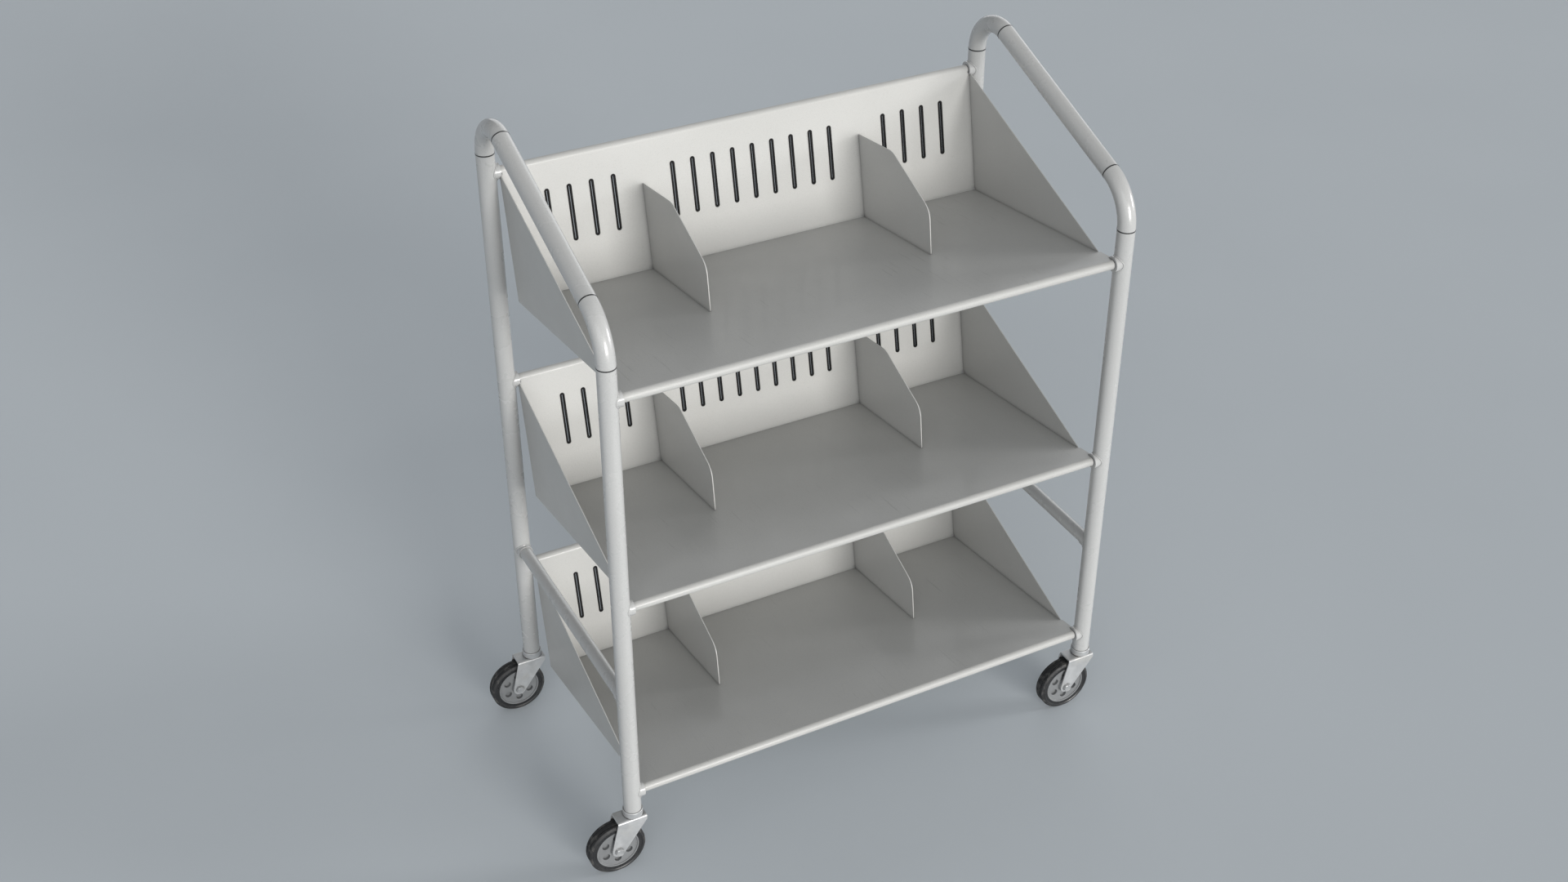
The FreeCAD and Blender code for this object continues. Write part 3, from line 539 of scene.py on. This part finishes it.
def weld_beads(side):
    """The beads of one side frame: one at every collar."""
    post = middle_of(side + "_side_frame").x
    post_radius = size_of(side + "_side_frame").x / 2
    collar_radius, bead, ripples = 13.2 * MM, 1.3 * MM, 26
    inward = (1, 0, 0) if side == "left" else (-1, 0, 0)
    work = bmesh.new()
    for tier in TIERS:
        for end in ("front", "rear"):
            rail = middle_of(f"{tier}_{end}_rail")
            centre = (post, rail.y, rail.z)
            bead_round_collar(work, centre, inward, collar_radius, post_radius, bead, ripples)
    height = middle_of(side + "_stretcher").z
    for end, along in (("front", (0, 1, 0)), ("rear", (0, -1, 0))):
        centre = (post, middle_of(f"lower_{end}_rail").y, height)
        bead_round_collar(work, centre, along, collar_radius, post_radius, bead, ripples)
    finish_piece(work, side + "_weld_beads", "frame_paint", BODY_OF[side + "_weld_collars"])


def bend_joints(side):
    """The tube's radius, and the place and direction of each end of its two bends."""
    low, high = (Vector(corner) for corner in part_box(side + "_side_frame"))
    x, radius = (low.x + high.x) / 2, (high.x - low.x) / 2
    front_bend, rear_bend, front_top = 82 * MM, 62 * MM, 978 * MM
    rear_top = high.z - radius - rear_bend
    front, rear = low.y + radius, high.y - radius
    front_centre = Vector((x, front + front_bend, front_top))
    rear_centre = Vector((x, rear - rear_bend, rear_top))
    run = rear_centre - front_centre
    climb = math.atan2(run.z, run.y) - math.asin((front_bend - rear_bend) / run.length)
    along = Vector((0, math.cos(climb), math.sin(climb)))
    out = Vector((0, -math.sin(climb), math.cos(climb)))
    return radius, [(Vector((x, front, front_top)), UP), (front_centre + out * front_bend, along),
                    (rear_centre + out * rear_bend, along), (Vector((x, rear, rear_top)), UP)]


def joint_rings(side):
    """A dark hairline joint at each end of each bend."""
    radius, joints = bend_joints(side)
    half_width, proud, sunk, edge = 1.1 * MM, 0.25 * MM, 0.6 * MM, 0.2 * MM
    ring = rounded([(radius - sunk, -half_width, 0), (radius + proud, -half_width, edge),
                    (radius + proud, half_width, edge), (radius - sunk, half_width, 0)])
    work = bmesh.new()
    for place, along in joints:
        lathe(ring, place, along, work=work)
    mark = work.faces.layers.float.new("seam")
    for face in work.faces:
        face[mark] = 1
    finish_piece(work, side + "_joint_rings", "frame_paint", BODY_OF[side + "_side_frame"])


def build_frame():
    for side in SIDES:
        joint_rings(side)
        paint_node(side + "_side_frame")
        paint_node(side + "_stretcher")
        eased(side + "_weld_collars", 0.8 * MM)
        weld_beads(side)
    for tier in TIERS:
        for end in ("front", "rear"):
            paint_node(f"{tier}_{end}_rail")


# ---------------------------------------------------------------------------
# Shelves, dividers and rivets
# ---------------------------------------------------------------------------
SHEET = 1.5 * MM


def slot_outlines(node):
    """The rims of the slots in a shelf's back panel, on its front face, and the face's normal."""
    work = node_mesh(node)
    facing_front = [face for face in work.faces if face.normal.y < -0.9]
    panel = max(facing_front, key=lambda face: face.calc_area())
    out = panel.normal.copy()
    level = panel.verts[0].co.dot(out)
    walls = {face for face in work.faces if abs(face.normal.dot(out)) < 0.1
             and all(-1.1 * SHEET < vert.co.dot(out) - level < 0.1 * SHEET for vert in face.verts)}
    widest, shortest = 10 * MM, 50 * MM
    outlines = []
    while walls:
        patch, waiting = [], [walls.pop()]
        while waiting:
            face = waiting.pop()
            patch.append(face)
            near = {other for edge in face.edges for other in edge.link_faces} & walls
            walls -= near
            waiting += near
        rim = {vert for face in patch for vert in face.verts
               if vert.co.dot(out) - level > -0.5 * SHEET}
        points = [vert.co.copy() for vert in rim]
        width = max(point.x for point in points) - min(point.x for point in points)
        height = max(point.z for point in points) - min(point.z for point in points)
        if width < widest and height > shortest:
            middle = sum(points, Vector()) / len(points)
            up = out.cross(Vector((1, 0, 0)))
            points.sort(key=lambda point: math.atan2((point - middle).dot(up), (point - middle).x))
            outlines.append(points)
    work.free()
    outlines.sort(key=lambda points: points[0].x)
    return outlines, out


def slot_trims(tier):
    """Black U-section trim round each slot: a lip on both faces of the sheet."""
    node = tier + "_shelf"
    outlines, out = slot_outlines(node)
    lip, wall, proud, edge, gap = 1.2 * MM, 2.2 * MM, 0.7 * MM, 0.4 * MM, 0.02 * MM
    section = rounded([(-wall, proud, edge), (lip, proud, edge), (lip, gap, 0), (gap, gap, 0),
                       (gap, -SHEET - gap, 0), (lip, -SHEET - gap, 0),
                       (lip, -SHEET - proud, edge), (-wall, -SHEET - proud, edge)])
    work = bmesh.new()
    for points in outlines:
        rings = []
        for index, point in enumerate(points):
            onward, back = points[(index + 1) % len(points)], points[index - 1]
            along = ((onward - point).normalized() + (point - back).normalized()).normalized()
            side = along.cross(out)
            rings.append([work.verts.new(point + side * across + out * rise) for across, rise in section])
        for index, near in enumerate(rings):
            far = rings[(index + 1) % len(rings)]
            for step in range(len(section)):
                onward = (step + 1) % len(section)
                work.faces.new((near[step], near[onward], far[onward], far[step]))
    finish_piece(work, tier + "_slot_trims", "tyre_rubber", BODY_OF[node], look="slot_trim")


def build_shelves():
    for tier in TIERS:
        eased(tier + "_shelf", 0.3 * MM, ending="_folded")
        slot_trims(tier)
        for side in SIDES:
            eased(f"{tier}_{side}_divider", 0.3 * MM)
    eased("divider_rivets", 0.5 * MM, 3)


# ---------------------------------------------------------------------------
# Casters
# ---------------------------------------------------------------------------
def build_tyre(corner):
    """The tyre: side walls with a raised rib, round shoulders, and a grooved tread."""
    node = corner + "_tyre"
    centre = middle_of(node)
    outer, half = size_of(node).x / 2, size_of(node).y / 2
    inner = size_of(corner + "_wheel").x / 2
    wall = half - 1 * MM
    rib_foot, rib_start, rib_end = outer - 7.5 * MM, outer - 6 * MM, outer - 4.6 * MM
    rib_step, shoulder, shoulder_round = 0.5 * MM, half - 2.6 * MM, 2.2 * MM
    groove_at, groove_half, groove_deep = 4 * MM, 0.8 * MM, 1.5 * MM
    edge, tread_crown, tread_depth = 0.35 * MM, 0.05 * MM, 3 * MM
    side = [(inner, wall, 0), (rib_foot, wall, edge), (rib_start, half, edge),
            (rib_end, half, edge), (rib_end + rib_step, half - rib_step, edge),
            (outer - tread_crown, shoulder, shoulder_round)]
    tread = []
    for place in (groove_at, -groove_at):
        tread += [(outer, place + groove_half, edge), (outer - groove_deep, place + groove_half, edge),
                  (outer - groove_deep, place - groove_half, edge), (outer, place - groove_half, edge)]
    far_side = [(radius, -height, corner_radius) for radius, height, corner_radius in reversed(side)]
    work = lathe(rounded(side + tread + far_side), centre, (0, -1, 0), 128)
    mark = work.faces.layers.float.new("tread")
    for face in work.faces:
        offset = face.calc_center_median() - centre
        if math.hypot(offset.x, offset.z) > outer - tread_depth:
            face[mark] = 1
    finish_piece(work, node + "_moulded", SLOTS[node], BODY_OF[node], [node])


def hexagon_reach(angle, half_across):
    """From a hexagon's middle to its side, in this direction."""
    sector = math.radians(60)
    return half_across / math.cos((angle % sector) - sector / 2)


def hex_piece(work, origin, along, half_across, height, bore):
    """A hexagon head, chamfered at its outer end, with a shallow dimple as wide as the bore."""
    steps, chamfer = 72, math.tan(math.radians(30))
    least_chamfer, dimple, tip = 0.25 * MM, 0.4 * MM, 0.01 * MM
    face_share, dimple_share = 0.96, 1.15
    along = Vector(along)
    across = UP.cross(along)
    rings = []
    for kind in range(5):
        ring = []
        for step in range(steps):
            angle = math.tau * step / steps
            reach = hexagon_reach(angle, half_across)
            drop = (reach - half_across) * chamfer + least_chamfer
            rise = (0, height - drop, height, height - dimple, height - dimple)[kind]
            out = (reach, reach, half_across * face_share, bore * dimple_share, tip)[kind]
            way = across * math.cos(angle) + UP * math.sin(angle)
            ring.append(work.verts.new(Vector(origin) + way * out + along * rise))
        rings.append(ring)
    for near, far in zip(rings, rings[1:]):
        for step in range(steps):
            onward = (step + 1) % steps
            work.faces.new((near[step], near[onward], far[onward], far[step]))
    work.faces.new(reversed(rings[0]))
    work.faces.new(rings[-1])


def build_axle(corner):
    """The bolt with its chamfered head on the near leg, and a lock nut on the far one."""
    bolt, nut = corner + "_axle_bolt", corner + "_axle_nut"
    axle = middle_of(bolt)
    half_across, reach = size_of(nut).x / 2, size_of(bolt).y / 2
    leg = size_of(corner + "_fork").y / 2
    shank, washer, washer_radius, sharp, eased_edge = 4 * MM, 0.7 * MM, 7.6 * MM, 0.15 * MM, 0.3 * MM
    washer_hole = shank * 0.9
    head_clearance, nut_clearance, tip_clearance = 0.4 * MM, 1.9 * MM, 0.5 * MM
    collar, collar_clearance, collar_root, collar_round = 5.3 * MM, 0.8 * MM, 0.6 * MM, 0.6 * MM
    for node, way in ((bolt, -1), (nut, 1)):
        work = bmesh.new()
        foot = axle + Vector((0, way * leg, 0))
        high = reach - leg - (head_clearance if node == bolt else nut_clearance)
        hex_piece(work, foot, (0, way, 0), half_across, high, shank)
        ring = rounded([(washer_hole, 0, 0), (washer_radius, 0, sharp),
                        (washer_radius, washer, eased_edge), (washer_hole, washer, 0)])
        lathe(ring, foot, (0, way, 0), 48, work)
        if node == bolt:
            rod = rounded([(0, -leg, 0), (shank, -leg, 0), (shank, reach - tip_clearance, collar_round),
                           (0, reach - tip_clearance, 0)])
            lathe(rod, axle, (0, 1, 0), 48, work)
        else:
            top = reach - leg - collar_clearance
            sleeve = rounded([(shank, high - collar_root, 0), (collar, high - collar_root, 0),
                              (collar, top, collar_round), (shank, top, 0.2 * MM)])
            lathe(sleeve, foot, (0, 1, 0), 48, work)
        finish_piece(work, node + "_turned", SLOTS[node], BODY_OF[node], [node])


def build_casters():
    for corner in CORNERS:
        build_tyre(corner)
        eased(corner + "_wheel", 0.5 * MM)
        eased(corner + "_fork", 0.35 * MM)
        eased(corner + "_swivel_collar", 0.8 * MM, 3)
        eased(corner + "_swivel_stem", 0.5 * MM)
        build_axle(corner)
        for inner_part in ("_post_socket", "_swivel_balls"):
            paint_node(corner + inner_part)


add_camera()
add_stage()
light_scene()
build_frame()
build_shelves()
build_casters()
